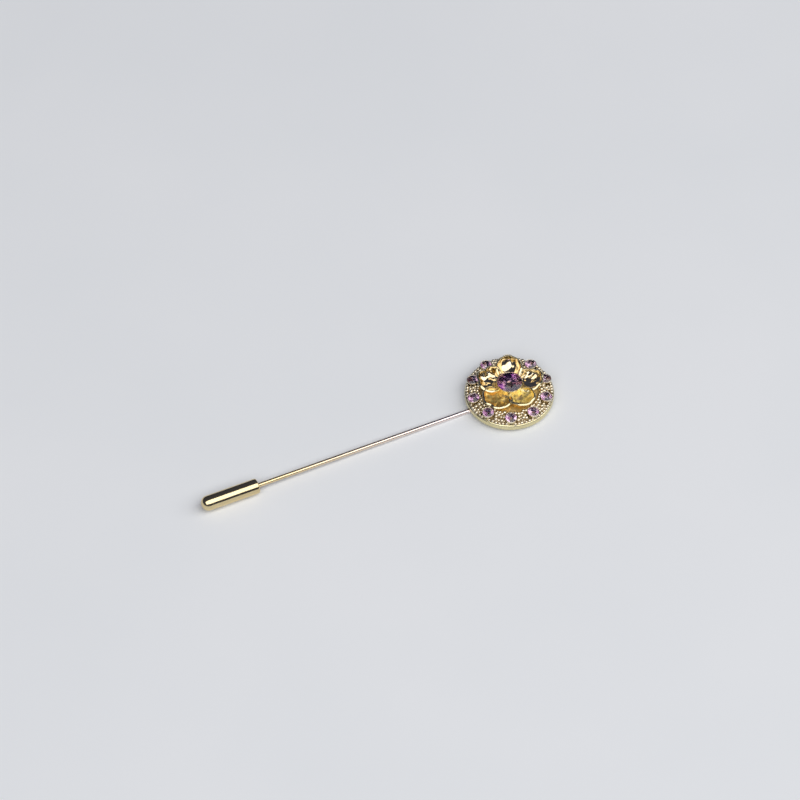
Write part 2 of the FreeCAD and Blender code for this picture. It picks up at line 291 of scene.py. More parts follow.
def arc(centre, radius, start, end, count):
    """Points along an arc, as (across, up) pairs, with the angles in degrees."""
    angles = [math.radians(a) for a in np.linspace(start, end, count)]
    return [(centre[0] + radius * math.cos(a), centre[1] + radius * math.sin(a)) for a in angles]


def turned(profile, around):
    """Rings about +Z from (radius, height) pairs."""
    angles = np.linspace(0, 2 * math.pi, around, endpoint=False)
    return [np.column_stack([r * np.cos(angles), r * np.sin(angles), np.full(around, z)])
            for r, z in profile]


def turned_along_x(profile, around, height):
    """Rings about an axis along X at that height, from (x, radius) pairs."""
    angles = np.linspace(0, 2 * math.pi, around, endpoint=False)
    return [np.column_stack([np.full(around, x), r * np.cos(angles), height + r * np.sin(angles)])
            for x, r in profile]


def ball(centre, radius):
    """Rings of a bead."""
    profile = arc((0, 0), radius, -BEAD_POLE, BEAD_POLE, BEAD_ROWS)
    return [ring + centre for ring in turned(profile, BEAD_AROUND)]


# ---------------------------------------------------------------- materials

def new_material(name):
    """A material with a Principled shader, and its nodes, links and shader."""
    material = bpy.data.materials.new(name)
    material.use_nodes = True
    nodes, links = material.node_tree.nodes, material.node_tree.links
    return material, nodes, links, nodes["Principled BSDF"]


def noise_node(nodes, links, size, detail=3.0, stretch=None):
    """A noise texture with features of that size in millimetres, in the object's own space."""
    place = nodes.new("ShaderNodeTexCoord")
    texture = nodes.new("ShaderNodeTexNoise")
    texture.inputs["Scale"].default_value = 1.0 / (size * MM)
    texture.inputs["Detail"].default_value = detail
    if stretch:
        mapping = nodes.new("ShaderNodeMapping")
        mapping.inputs["Scale"].default_value = stretch
        links.new(place.outputs["Object"], mapping.inputs["Vector"])
        links.new(mapping.outputs["Vector"], texture.inputs["Vector"])
    else:
        links.new(place.outputs["Object"], texture.inputs["Vector"])
    return texture


def spread(nodes, links, source, low, high):
    """Maps a noise to the range from low to high."""
    span = nodes.new("ShaderNodeMapRange")
    span.inputs["From Min"].default_value = NOISE_LOW
    span.inputs["From Max"].default_value = NOISE_HIGH
    span.inputs["To Min"].default_value = low
    span.inputs["To Max"].default_value = high
    links.new(source, span.inputs["Value"])
    return span.outputs["Result"]


def two_tones(nodes, links, source, first, second, low=0.35, high=0.65):
    """A colour that goes from first to second as the noise goes from low to high."""
    ramp = nodes.new("ShaderNodeValToRGB")
    ramp.color_ramp.elements[0].position = low
    ramp.color_ramp.elements[0].color = (*first, 1)
    ramp.color_ramp.elements[1].position = high
    ramp.color_ramp.elements[1].color = (*second, 1)
    links.new(source, ramp.inputs["Fac"])
    return ramp.outputs["Color"]


def add_bump(nodes, links, shader, source, depth):
    """Bumps of that depth in millimetres, as high as the noise."""
    bump = nodes.new("ShaderNodeBump")
    bump.inputs["Distance"].default_value = depth * MM
    bump.inputs["Strength"].default_value = 1.0
    links.new(source, bump.inputs["Height"])
    links.new(bump.outputs["Normal"], shader.inputs["Normal"])


def metal(name, first, second, rough, patch, grain, depth, stretch=None):
    """A plated metal: two close tones in patches, an uneven gloss and a fine grain."""
    material, nodes, links, shader = new_material(name)
    shader.inputs["Metallic"].default_value = 1.0
    patches = noise_node(nodes, links, patch, detail=4.0)
    tone = two_tones(nodes, links, patches.outputs["Fac"], first, second)
    links.new(tone, shader.inputs["Base Color"])
    wear = noise_node(nodes, links, patch * WEAR_SHARE, detail=5.0, stretch=stretch)
    links.new(spread(nodes, links, wear.outputs["Fac"], *rough), shader.inputs["Roughness"])
    fine = noise_node(nodes, links, grain, stretch=stretch)
    add_bump(nodes, links, shader, fine.outputs["Fac"], depth)
    return material


def wire_material(start, end):
    """Plated wire, gold from the clutch and paler and pinker towards the head, where the pale pink
    is a painted highlight, with drawing marks along it.
    """
    material, nodes, links, shader = new_material("plated_wire")
    shader.inputs["Metallic"].default_value = 1.0
    place = nodes.new("ShaderNodeTexCoord")
    split = nodes.new("ShaderNodeSeparateXYZ")
    along = nodes.new("ShaderNodeMapRange")
    along.inputs["From Min"].default_value = start * MM
    along.inputs["From Max"].default_value = end * MM
    links.new(place.outputs["Object"], split.inputs["Vector"])
    links.new(split.outputs["X"], along.inputs["Value"])
    # The pale pink towards the head is a painted highlight.
    tone = two_tones(nodes, links, along.outputs["Result"], (0.84, 0.66, 0.38), (0.90, 0.78, 0.74),
                     low=0.1, high=0.9)
    links.new(tone, shader.inputs["Base Color"])
    marks = noise_node(nodes, links, 0.2, detail=4.0, stretch=(0.03, 1, 1))
    rough = spread(nodes, links, marks.outputs["Fac"], low=0.14, high=0.3)
    links.new(rough, shader.inputs["Roughness"])
    add_bump(nodes, links, shader, marks.outputs["Fac"], depth=0.004)
    return material


def glass(name, tint, deep, cloud_size):
    """The clear front of a foiled stone, in two close tints."""
    material, nodes, links, shader = new_material(name)
    shader.inputs["Transmission Weight"].default_value = 1.0
    shader.inputs["IOR"].default_value = 1.58
    cloud = noise_node(nodes, links, cloud_size, detail=2.0)
    tone = two_tones(nodes, links, cloud.outputs["Fac"], tint, deep)
    links.new(tone, shader.inputs["Base Color"])
    worn = noise_node(nodes, links, 0.15, detail=4.0)
    rough = spread(nodes, links, worn.outputs["Fac"], low=0.0, high=0.05)
    links.new(rough, shader.inputs["Roughness"])
    return material


def foil(name, bright, dark, size, rough):
    """The mirror behind a stone, with bright and dark patches that stand in for the stone's glints
    and dark facets: painted highlights and painted dark reflections.
    """
    material, nodes, links, shader = new_material(name)
    shader.inputs["Metallic"].default_value = 1.0
    patches = noise_node(nodes, links, size, detail=2.0)
    # The bright and dark patches are painted glints and painted dark reflections.
    tone = two_tones(nodes, links, patches.outputs["Fac"], dark, bright, low=0.42, high=0.58)
    links.new(tone, shader.inputs["Base Color"])
    links.new(spread(nodes, links, patches.outputs["Fac"], *rough), shader.inputs["Roughness"])
    return material


def nylon_material():
    """Slightly cloudy off-white nylon."""
    material, nodes, links, shader = new_material("nylon")
    shader.inputs["Subsurface Weight"].default_value = 0.4
    shader.inputs["Subsurface Radius"].default_value = (0.0006, 0.0006, 0.0005)
    cloud = noise_node(nodes, links, 1.2)
    tone = two_tones(nodes, links, cloud.outputs["Fac"], (0.80, 0.78, 0.72), (0.88, 0.87, 0.83))
    links.new(tone, shader.inputs["Base Color"])
    grain = noise_node(nodes, links, 0.12, detail=4.0)
    rough = spread(nodes, links, grain.outputs["Fac"], low=0.35, high=0.5)
    links.new(rough, shader.inputs["Roughness"])
    add_bump(nodes, links, shader, grain.outputs["Fac"], depth=0.01)
    return material


def floor_material():
    """A pale matt floor with a faint unevenness in its tone."""
    material, nodes, links, shader = new_material("pale_floor")
    cloud = noise_node(nodes, links, 60.0)
    tone = two_tones(nodes, links, cloud.outputs["Fac"], (0.875, 0.890, 0.895),
                     (0.900, 0.910, 0.912))
    links.new(tone, shader.inputs["Base Color"])
    shader.inputs["Roughness"].default_value = 0.9
    shader.inputs["Specular IOR Level"].default_value = 0.1
    return material


# ---------------------------------------------------------------- head

class Head:
    """Where the head is: the middle of its disc's back, the disc's radius and height, and how far
    it is turned."""

    def __init__(self):
        low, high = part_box("base_disc")
        self.middle = Vector(((low.x + high.x) / 2, (low.y + high.y) / 2, low.z)) / MM
        self.radius = (high.x - low.x) / 2 / MM
        self.seat = (high.z - low.z) / MM
        first = self.stone("rim_stone_01")[0]
        self.turn = math.atan2(first.y, first.x)

    def stone(self, node):
        """A stone's middle from the head's middle, and the heights of its culet and its table."""
        low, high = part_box(node)
        middle = (low + high) / 2 / MM - self.middle
        return middle, low.z / MM - self.middle.z, high.z / MM - self.middle.z

    def dome(self, radius):
        """Height of the domed front at that radius."""
        edge = math.sqrt(DOME_RADIUS ** 2 - (self.radius - BAND_ROUNDING) ** 2)
        return np.sqrt(DOME_RADIUS ** 2 - np.square(radius)) - edge + BAND_HEIGHT

    def place(self, points, turn=0.0):
        """Points made about the head's middle, turned and moved to where the head is."""
        c, s = math.cos(self.turn + turn), math.sin(self.turn + turn)
        points = np.asarray(points, float)
        x, y, z = points[..., 0], points[..., 1], points[..., 2]
        return np.stack([x * c - y * s, x * s + y * c, z], -1) + np.array(self.middle)


def make_disc(head, golds):
    """The cast disc with its side band, its beads and a thin setting round each rim stone."""
    shape = Shape()
    outside = head.radius
    profile = [(radius, 0.0) for radius in (*BACK_RADII, outside - BACK_EDGE_INSET)]
    profile += arc((outside - BACK_ROUNDING, BACK_ROUNDING), BACK_ROUNDING, -90, 0, 6)
    profile += [(outside, BAND_MIDDLE)]
    shoulder = (outside - BAND_ROUNDING, BAND_HEIGHT - BAND_ROUNDING)
    profile += arc(shoulder, BAND_ROUNDING, 0, BAND_ROUNDING_END, 8)
    dome_edge = outside - BAND_ROUNDING - DOME_EDGE_INSET
    profile += [(r, head.dome(r)) for r in np.linspace(dome_edge, DOME_MIDDLE, DOME_RINGS)]
    rings = np.array(turned(profile, DISC_AROUND))
    flat = rings.reshape(-1, 3)
    rippled = smooth(flat[:, 2] / DISC_RIPPLE_START)
    flat[:, 2] += ripple(flat, DISC_RIPPLE_SIZE, DISC_RIPPLE_DEPTH) * rippled
    row_slots = []
    for radius, height in profile[1:]:
        face_up = height > BAND_HEIGHT - BAND_ROUNDING and radius < outside - BAND_ROUNDING
        inside_field = radius < outside - FIELD_EDGE
        row_slots.append((WARM if inside_field else FIELD) if face_up else BAND)
    shape.grid(head.place(rings), row_slots)
    for x, y, size, lift in packed_beads(head):
        middle = (x, y, head.dome(math.hypot(x, y)) + BEAD_RISE + lift)
        shape.grid(ball(np.array(head.middle) + middle, size))
    for number in range(1, RIM_STONES + 1):
        add_bezel(shape, head, "rim_stone_%02d" % number)
    return shape.piece("head_casting", golds, "pin", ["base_disc"])


def packed_beads(head):
    """Beads as (x, y, radius, lift): an uneven row along the edge, then the rest packed at random
    between the stones, the largest first."""
    draw = random.Random(BEAD_SEED)
    stones = [head.stone("rim_stone_%02d" % number)[0] for number in range(1, RIM_STONES + 1)]
    beads = []
    for number in range(EDGE_BEADS):
        stray = draw.uniform(-EDGE_BEAD_STRAY, EDGE_BEAD_STRAY)
        turn = (number + stray) * 2 * math.pi / EDGE_BEADS
        radius = head.radius - EDGE_BEAD_INSET + draw.uniform(*EDGE_BEAD_SHIFT)
        size = EDGE_BEAD_RADIUS * draw.uniform(*EDGE_BEAD_SCALE)
        beads.append((radius * math.cos(turn), radius * math.sin(turn), size, -EDGE_BEAD_DROP))
    for size in BEAD_SIZES:
        for _ in range(BEAD_TRIES):
            turn = draw.uniform(0, 2 * math.pi)
            radius = head.radius - draw.uniform(EDGE_BEAD_INSET, FIELD_EDGE)
            x, y = radius * math.cos(turn), radius * math.sin(turn)
            clearance = BEZEL_RADIUS + BEAD_TO_BEZEL * size
            clear = all(math.hypot(x - s.x, y - s.y) > clearance for s in stones)
            apart = all(math.hypot(x - other_x, y - other_y) > BEAD_CLOSENESS * (size + other_size)
                        for other_x, other_y, other_size, _ in beads)
            if clear and apart:
                beads.append((x, y, size, draw.uniform(-BEAD_LIFT, BEAD_LIFT)))
    return beads


def lean_about(points, middle, outward, degrees):
    """Points leaned outward about a stone's middle."""
    axis = Vector((0, 0, 1)).cross(outward).normalized()
    turn = np.array(Matrix.Rotation(math.radians(degrees), 3, axis))
    return (np.asarray(points) - middle) @ turn.T + middle


def add_bezel(shape, head, node):
    """A thin rounded wall round a stone, from the dome up to the stone's edge."""
    middle, culet, table = head.stone(node)
    edge = culet + STONE_EDGE_SHARE * (table - culet)
    foot = culet + BEZEL_FOOT_RISE
    profile = [(BEZEL_RADIUS - BEZEL_FOOT_INSET, foot), (BEZEL_RADIUS + BEZEL_FOOT_OUTSET, foot)]
    profile += [(BEZEL_RADIUS + BEZEL_NECK_OUTSET, edge - BEZEL_NECK_DROP)]
    lip = (BEZEL_RADIUS - BEZEL_LIP_INSET, edge - BEZEL_LIP_DROP)
    profile += arc(lip, BEZEL_THICKNESS / 2, *BEZEL_LIP_ANGLES, 6)
    profile += [(BEZEL_RADIUS - BEZEL_INSIDE, edge - BEZEL_INSIDE)]
    rings = [ring + (middle.x, middle.y, 0) for ring in turned(profile, BEZEL_AROUND)]
    pivot = np.array((middle.x, middle.y, edge))
    rings = lean_about(rings, pivot, Vector((middle.x, middle.y, 0)), STONE_LEAN)
    shape.loop(rings + np.array(head.middle))


def gem(radius, culet, table):
    """A round brilliant: points, front faces and back faces."""
    height = table - culet
    girdle = table - CROWN_SHARE * height
    under = girdle - GIRDLE_SHARE * height
    top = radius * TABLE_SHARE
    inward = math.cos(math.radians(HALF_SIDE))
    star = (top * inward + radius) / 2
    slope = (girdle - table) / (radius - top)
    star_height = table + slope * (star * inward - top)
    low = radius * LOWER_SHARE
    low_height = culet + (under - culet) * low * inward / radius

    def ring(size, count, start, z):
        angles = [math.radians(start + i * 360 / count) for i in range(count)]
        return [(size * math.cos(a), size * math.sin(a), z) for a in angles]

    sides, around = STONE_SIDES, 2 * STONE_SIDES
    points = ring(top, sides, 0, table)
    points += ring(star, sides, HALF_SIDE, star_height)
    points += ring(radius, around, 0, girdle)
    points += ring(radius, around, 0, under)
    points += ring(low, sides, HALF_SIDE, low_height)
    points += [(0, 0, culet)]
    first_star, first_girdle = sides, 2 * sides
    first_low = first_girdle + 2 * around
    bottom = first_low + sides
    front, back = [list(range(sides))], []
    for k in range(sides):
        n, before = (k + 1) % sides, (k - 1) % sides
        upper = [first_girdle + (2 * k + i) % around for i in range(3)]
        lower = [i + around for i in upper]
        front.append([k, first_star + k, n])
        front.append([k, first_star + before, upper[0], first_star + k])
        front.append([first_star + k, upper[0], upper[1]])
        front.append([first_star + k, upper[1], upper[2]])
        front.append([upper[0], lower[0], lower[1], upper[1]])
        front.append([upper[1], lower[1], lower[2], upper[2]])
        back.append([lower[0], first_low + k, lower[1]])
        back.append([lower[1], first_low + k, lower[2]])
        back.append([lower[0], first_low + before, bottom, first_low + k])
    return np.array(points, float), front, back


def make_gem(head, name, node, radius, lean, twist, materials):
    """A stone where its CAD node is, leaned outward and twisted about its own middle by degrees."""
    middle, culet, table = head.stone(node)
    points, front, back = gem(radius, culet, table)
    turn = np.array(Matrix.Rotation(math.radians(twist), 3, "Z"))
    points = points @ turn.T + (middle.x, middle.y, 0)
    if lean:
        pivot = np.array((middle.x, middle.y, culet + STONE_EDGE_SHARE * (table - culet)))
        points = lean_about(points, pivot, Vector((middle.x, middle.y, 0)), lean)
    shape = Shape()
    slots = [0] * len(front) + [1] * len(back)
    shape.add(points + np.array(head.middle), front + back, slots)
    return shape.piece(name, materials, "pin", [node], shade_smooth=False)


# ---------------------------------------------------------------- blossom

class Petal:
    """A petal's own shape: how far its tip reaches, its half width, the heights of its rim at the
    tip and at the clockwise and counter-clockwise sides, how open its cup is (1 is a bowl, less has
    a broader floor and steeper sides), the depth of its ribs and of its hammering, the gold inside
    it (the amber and yellow golds are painted bounce light), a notch in the rim with its place in
    degrees, and a lean to one side."""

    def __init__(self, reach, half_width, tip, before, after, openness, ribs, lumps, tone,
                 notch=0.0, notch_at=0.0, skew=0.0):
        self.reach = reach
        self.half_width = half_width
        self.tip = tip
        self.before = before
        self.after = after
        self.openness = openness
        self.ribs = ribs
        self.lumps = lumps
        self.tone = tone
        self.notch = notch
        self.notch_at = math.radians(notch_at)
        self.skew = skew


PETALS = 5
PETAL_MIDDLE = 3.55
PETAL_FLOOR = 2.3
PETAL_TOP = 4.62
PETAL_INWARD = 1.75
PETAL_INNER = 2.8
PETAL_FIRST_RING = 0.04
PETAL_STEPS = 26
PETAL_AROUND = 96
# AMBER and YELLOW are deeper golds for the front petals' insides: painted bounce light between the
# cups.
PLAIN, AMBER, YELLOW, MIRROR = 0, 1, 2, 3

# The wall and the rolled rim. The rim thickens and drops over the last share of the way up.
PETAL_WALL = 0.2
PETAL_RIM = 0.40
PETAL_RIM_START, PETAL_RIM_SPAN = 0.75, 0.25
PETAL_RIM_BULGE = 0.08
PETAL_RIM_DROP = 0.18
PETAL_DROP_START, PETAL_DROP_SPAN = 0.8, 0.2
PETAL_LIP_STEPS = 11

# The rim's waves as (depth, count, step from petal to petal), in its outline and in its height. It
# has its side heights half of the way out, and rises from there to its tip.
OUTLINE_WAVES = ((0.02, 5, 1), (0.014, 9, 2))
HEIGHT_WAVE = (0.09, 4, 1.3)
SIDES_REACHED = 0.5
NOTCH_WIDTH = 0.24

# The ribs fade in from the cup's middle and out again below the rim. The lumps are hammering.
PETAL_RIBS = 34
RIBS_IN = 0.5
RIBS_END = 1.05
RIBS_OUT = 0.3
LUMP_SIZE = 1.0

# The middle stone's setting as radii, with heights above the disc's front for its foot and depths
# below the stone's edge for the rest.
SETTING_FOOT = ((0.05, -0.4), (2.9, -0.4), (2.9, 0.1), (2.5, 0.32))
SETTING_NECK = (2.42, 0.4)
SETTING_LIP = (2.4, 0.1)
SETTING_LIP_RADIUS = 0.12
SETTING_LIP_END = 170
SETTING_CUP = ((2.1, 0.3), (1.0, 1.1), (0.05, 1.35))
SETTING_AROUND = 96

# The petals in order from the head's turn, counter-clockwise.
PETAL_SHAPES = (
    Petal(reach=6.6, half_width=2.35, tip=3.75, before=3.2, after=3.8, openness=0.52,
          ribs=0.12, lumps=0.24, tone=MIRROR),
    Petal(reach=6.1, half_width=2.3, tip=4.75, before=4.2, after=4.3, openness=1.25,
          ribs=0.015, lumps=0.05, tone=MIRROR),
    Petal(reach=6.35, half_width=2.5, tip=3.9, before=4.6, after=3.3, openness=0.62,
          ribs=0.02, lumps=0.22, tone=MIRROR, notch=-0.13, notch_at=22),
    Petal(reach=6.4, half_width=2.8, tip=3.35, before=3.5, after=3.4, openness=0.90,
          ribs=0.02, lumps=0.16, tone=AMBER, notch=-0.15, notch_at=-4, skew=-0.08),
    Petal(reach=6.15, half_width=2.4, tip=3.95, before=3.8, after=3.6, openness=0.90,
          ribs=0.02, lumps=0.09, tone=YELLOW),
)


def petal_rings(petal, number):
    """The rings of one petal: up its inside, over its rim and down its outside."""
    angle = np.linspace(-math.pi, math.pi, PETAL_AROUND, endpoint=False)
    along = np.where(np.cos(angle) > 0, petal.reach - PETAL_MIDDLE, PETAL_INWARD)
    rim = 1 / np.sqrt((np.cos(angle) / along) ** 2 + (np.sin(angle) / petal.half_width) ** 2)
    outward = (1 + np.cos(angle)) / 2
    notch = petal.notch * np.exp(-((angle - petal.notch_at) / NOTCH_WIDTH) ** 2)
    rim *= 1 + notch + petal.skew * np.sin(angle)
    waves = sum(depth * np.sin(count * angle + step * number)
                for depth, count, step in OUTLINE_WAVES)
    rim *= 1 + waves * outward
    side = petal.before + (petal.after - petal.before) * (1 + np.sin(angle)) / 2
    height = PETAL_INNER + (side - PETAL_INNER) * smooth(outward / SIDES_REACHED)
    height += (petal.tip - side) * smooth((outward - SIDES_REACHED) / (1 - SIDES_REACHED))
    depth, count, step = HEIGHT_WAVE
    height += depth * np.sin(count * angle + step * number) * outward
    height = np.minimum(height, PETAL_TOP)
    inside = []
    for t in np.linspace(PETAL_FIRST_RING, 1, PETAL_STEPS):
        across = math.sin(t * math.pi / 2) ** petal.openness
        up = 1 - math.cos(t * math.pi / 2)
        x = PETAL_MIDDLE + rim * across * np.cos(angle)
        y = rim * across * np.sin(angle)
        ribs = petal.ribs * np.cos(PETAL_RIBS * np.arctan2(y, x))
        ribs = ribs * smooth(t / RIBS_IN) * smooth((RIBS_END - t) / RIBS_OUT)
        z = PETAL_FLOOR + (height - PETAL_FLOOR) * up + ribs
        inside.append(np.column_stack([x, y, z]))
    inside = np.array(inside)
    flat = inside.reshape(-1, 3)
    flat[:, 2] += ripple(flat, LUMP_SIZE, petal.lumps, seed=5.0 * number + 1)
    up_along = np.gradient(inside, axis=0)
    round_along = np.roll(inside, -1, axis=1) - np.roll(inside, 1, axis=1)
    normal = np.cross(round_along, up_along)
    normal /= np.linalg.norm(normal, axis=2, keepdims=True)
    if normal[0, :, 2].mean() < 0:
        normal = -normal
    share = np.linspace(0, 1, PETAL_STEPS)[:, None, None]
    at_rim = smooth((share - PETAL_RIM_START) / PETAL_RIM_SPAN)
    outside = inside - normal * (PETAL_WALL + (PETAL_RIM - PETAL_WALL) * at_rim)
    dropped = smooth((share[..., 0] - PETAL_DROP_START) / PETAL_DROP_SPAN)
    outside[..., 2] -= PETAL_RIM_DROP * dropped
    tangent = up_along[-1] / np.linalg.norm(up_along[-1], axis=1, keepdims=True)
    middle, half = (inside[-1] + outside[-1]) / 2, (inside[-1] - outside[-1]) / 2
    lip = [middle + math.cos(a) * half + PETAL_RIM_BULGE * math.sin(a) * tangent
           for a in np.linspace(0, math.pi, PETAL_LIP_STEPS)[1:-1]]
    return np.vstack([inside, lip, outside[::-1]])


def make_blossom(head, golds):
    """Five cupped petals with rolled rims round a plain setting for the middle stone."""
    shape = Shape()
    for number, petal in enumerate(PETAL_SHAPES):
        rings = petal_rings(petal, number)
        row_slots = [petal.tone] * (PETAL_STEPS - 1) + [PLAIN] * (len(rings) - PETAL_STEPS)
        shape.grid(head.place(rings, number * 2 * math.pi / PETALS), row_slots)
    culet, table = head.stone("centre_stone")[1:]
    edge = culet + (1 - CROWN_SHARE - GIRDLE_SHARE) * (table - culet)
    profile = [(radius, head.seat + up) for radius, up in SETTING_FOOT]
    profile += [(SETTING_NECK[0], edge - SETTING_NECK[1])]
    lip = (SETTING_LIP[0], edge - SETTING_LIP[1])
    profile += arc(lip, SETTING_LIP_RADIUS, 0, SETTING_LIP_END, 7)
    profile += [(radius, edge - down) for radius, down in SETTING_CUP]
    shape.grid(head.place(turned(profile, SETTING_AROUND)))
    return shape.piece("blossom_casting", golds, "pin", ["blossom"])


# ---------------------------------------------------------------- wire and clutch

def make_needle(metal_of_wire, axis_height, radius, point, tail_end, neck):
    """The wire: a fine point, a round shaft and a flattened tail behind the disc."""
    angles = np.linspace(0, 2 * math.pi, WIRE_AROUND, endpoint=False)
    stations = list(point + TAPER_LENGTH * np.linspace(0, 1, TAPER_RINGS) ** TAPER_CROWDING)
    stations += list(np.linspace(point + TAPER_LENGTH + SHAFT_RING_GAP, neck, SHAFT_RINGS))
    stations += list(np.linspace(neck + NECK_RING_GAP, neck + NECK_LENGTH, NECK_RINGS))
    tail_start = neck + NECK_LENGTH + TAIL_RING_GAP
    stations += list(np.linspace(tail_start, tail_end - TAIL_ROUNDING, TAIL_RINGS))
    stations += list(np.linspace(tail_end - TAIL_END_LENGTH, tail_end, TAIL_END_RINGS))
    rings = []
    for x in stations:
        taper = min(1.0, (x - point) / TAPER_LENGTH)
        full = math.sin(taper * math.pi / 2) ** TAPER_FULLNESS
        size = POINT_RADIUS + (radius - POINT_RADIUS) * full
        flat = float(smooth((x - neck) / NECK_LENGTH))
        past = max(0.0, (x - tail_end + TAIL_ROUNDING) / TAIL_ROUNDING)
        end = math.sqrt(max(TAIL_END_LEAST, 1 - past ** 2))
        power = 2 / (2 + (TAIL_SQUARENESS - 2) * flat)
        c = np.sign(np.cos(angles)) * np.abs(np.cos(angles)) ** power
        s = np.sign(np.sin(angles)) * np.abs(np.sin(angles)) ** power
        half_width = (size + (TAIL_HALF_WIDTH - size) * flat) * end
        half_height = (size + ((TAIL_TOP + TAIL_BOTTOM) / 2 - size) * flat) * end
        lift = flat * (TAIL_TOP - TAIL_BOTTOM) / 2
        heights = axis_height + lift + half_height * s
        rings.append(np.column_stack([np.full(WIRE_AROUND, x), half_width * c, heights]))
    shape = Shape()
    shape.grid(rings)
    return shape.piece("needle_wire", [metal_of_wire], "pin", ["needle"])


def make_solder(solder):
    """The pool of solder that holds the wire's tail to the disc."""
    low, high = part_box("solder_joint")
    middle = (low + high) / 2 / MM
    half = (high - low) / 2 / MM
    angles = np.linspace(0, 2 * math.pi, SOLDER_AROUND, endpoint=False)
    edge = np.ones_like(angles)
    for depth, count, start in SOLDER_WAVES:
        edge += depth * np.sin(count * angles + start)
    rings = []
    for share in np.linspace(SOLDER_FIRST_RING, 1, SOLDER_RINGS):
        x = middle.x + half.x * SOLDER_SHARE * share * edge * np.cos(angles)
        y = middle.y + half.y * SOLDER_SHARE * share * edge * np.sin(angles)
        deep = (1 - share ** SOLDER_BELLY) ** SOLDER_FULLNESS
        z = high.z / MM - (high.z - low.z) / MM * deep * np.ones_like(angles)
        rings.append(np.column_stack([x, y, z]))
    rings = np.array(rings)
    flat = rings.reshape(-1, 3)
    inner = flat[:, 2] < high.z / MM - SOLDER_FLAT_TOP
    lumps = ripple(flat, SOLDER_RIPPLE_SIZE, SOLDER_RIPPLE_DEPTH, seed=4.0)
    flat[:, 2] += np.where(inner, lumps, 0.0)
    shape = Shape()
    shape.grid(rings)
    return shape.piece("solder_pool", [solder], "pin", ["solder_joint"])


def make_shell(gold, axis_height):
    """The clutch's drawn shell: a round closed end, a straight barrel and a turned-in mouth."""
    low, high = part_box("clutch_shell")
    start, mouth, radius = low.x / MM, high.x / MM, (high.z - low.z) / 2 / MM
    inside = radius - SHELL_WALL
    profile = []
    for angle in [math.radians(a) for a in np.linspace(END_START, 90, OUTER_END_RINGS)]:
        back = radius * (1 - math.cos(angle) ** (2 / END_FULLNESS))
        profile.append((start + back, radius * math.sin(angle) ** (2 / END_FULLNESS)))
    barrel = (start + radius + BARREL_FIRST_GAP, mouth - LIP_ROUNDING - BARREL_LAST_GAP)
    profile += [(x, radius) for x in np.linspace(*barrel, BARREL_RINGS)]
    corner = (mouth - LIP_ROUNDING, radius - LIP_ROUNDING)
    profile += arc(corner, LIP_ROUNDING, 90, 0, LIP_RINGS)
    profile += [(mouth - LIP_CHAMFER, LIP_RADIUS + LIP_CHAMFER)]
    profile += [(mouth - LIP_CHAMFER_LENGTH, LIP_RADIUS), (mouth - LIP_LENGTH, LIP_RADIUS)]
    profile += [(mouth - LIP_LENGTH - LIP_CHAMFER, inside)]
    profile += [(start + radius + INNER_BARREL_GAP, inside)]
    for angle in [math.radians(a) for a in np.linspace(90 - END_START, END_START, INNER_END_RINGS)]:
        profile.append((start + radius - inside * math.cos(angle), inside * math.sin(angle)))
    shape = Shape()
    shape.grid(turned_along_x(profile, SHELL_AROUND, axis_height))
    return shape.piece("clutch_cap", [gold], "clutch_shell", ["clutch_shell"])


def make_liner(nylon, axis_height):
    """The nylon sleeve inside the clutch, with a funnel at its mouth."""
    low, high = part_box("clutch_liner")
    start, mouth, radius = low.x / MM, high.x / MM, (high.z - low.z) / 2 / MM
    profile = [(start, LINER_BORE), (start, radius - LINER_CHAMFER)]
    profile += [(start + LINER_CHAMFER, radius)]
    profile += [(mouth - LINER_MOUTH_CHAMFER, radius), (mouth, radius - LINER_MOUTH_CHAMFER)]
    profile += [(mouth, LINER_BORE + FUNNEL_DEPTH), (mouth - FUNNEL_DEPTH, LINER_BORE)]
    profile += [(start + LINER_END_WALL, LINER_BORE)]
    shape = Shape()
    shape.loop(turned_along_x(profile, LINER_AROUND, axis_height))
    return shape.piece("clutch_sleeve", [nylon], "clutch_liner", ["clutch_liner"])


# ---------------------------------------------------------------- stage

def make_floor(axis_height, tail_end):
    """A plain floor that the clutch's mouth and the wire's tail both touch."""
    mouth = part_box("clutch_shell")[1].x / MM - LIP_ROUNDING
    rise = axis_height - TAIL_BOTTOM
    tilt = math.atan2(rise, tail_end - mouth)
    half = FLOOR_SIZE / 2
    corners = [(-half, -half, 0), (half, -half, 0), (half, half, 0), (-half, half, 0)]
    mesh = bpy.data.meshes.new("floor")
    mesh.from_pydata(corners, [], [(0, 1, 2, 3)])
    mesh.materials.append(floor_material())
    floor = bpy.data.objects.new("floor", mesh)
    floor.location = (mouth * MM, 0, -FLOOR_DROP)
    floor.rotation_euler = (0, -tilt, 0)
    bpy.context.scene.collection.objects.link(floor)


def make_camera(head):
    """The camera, above and in front of the pin and a little to the point's side."""
    camera = bpy.data.objects.new("camera", bpy.data.cameras.new("camera"))
    camera.data.lens = CAMERA_LENS
    camera.data.clip_start, camera.data.clip_end = CAMERA_CLIP
    azimuth, elevation = math.radians(CAMERA_AZIMUTH), math.radians(CAMERA_ELEVATION)
    level = math.cos(elevation)
    back = Vector((math.sin(azimuth) * level, -math.cos(azimuth) * level, math.sin(elevation)))
    camera.location = (head.middle + AIM_FROM_HEAD) * MM + back * CAMERA_DISTANCE
    camera.rotation_mode = "QUATERNION"
    camera.rotation_quaternion = (-back).to_track_quat("-Z", "Y")
    bpy.context.scene.collection.objects.link(camera)
    bpy.context.scene.camera = camera


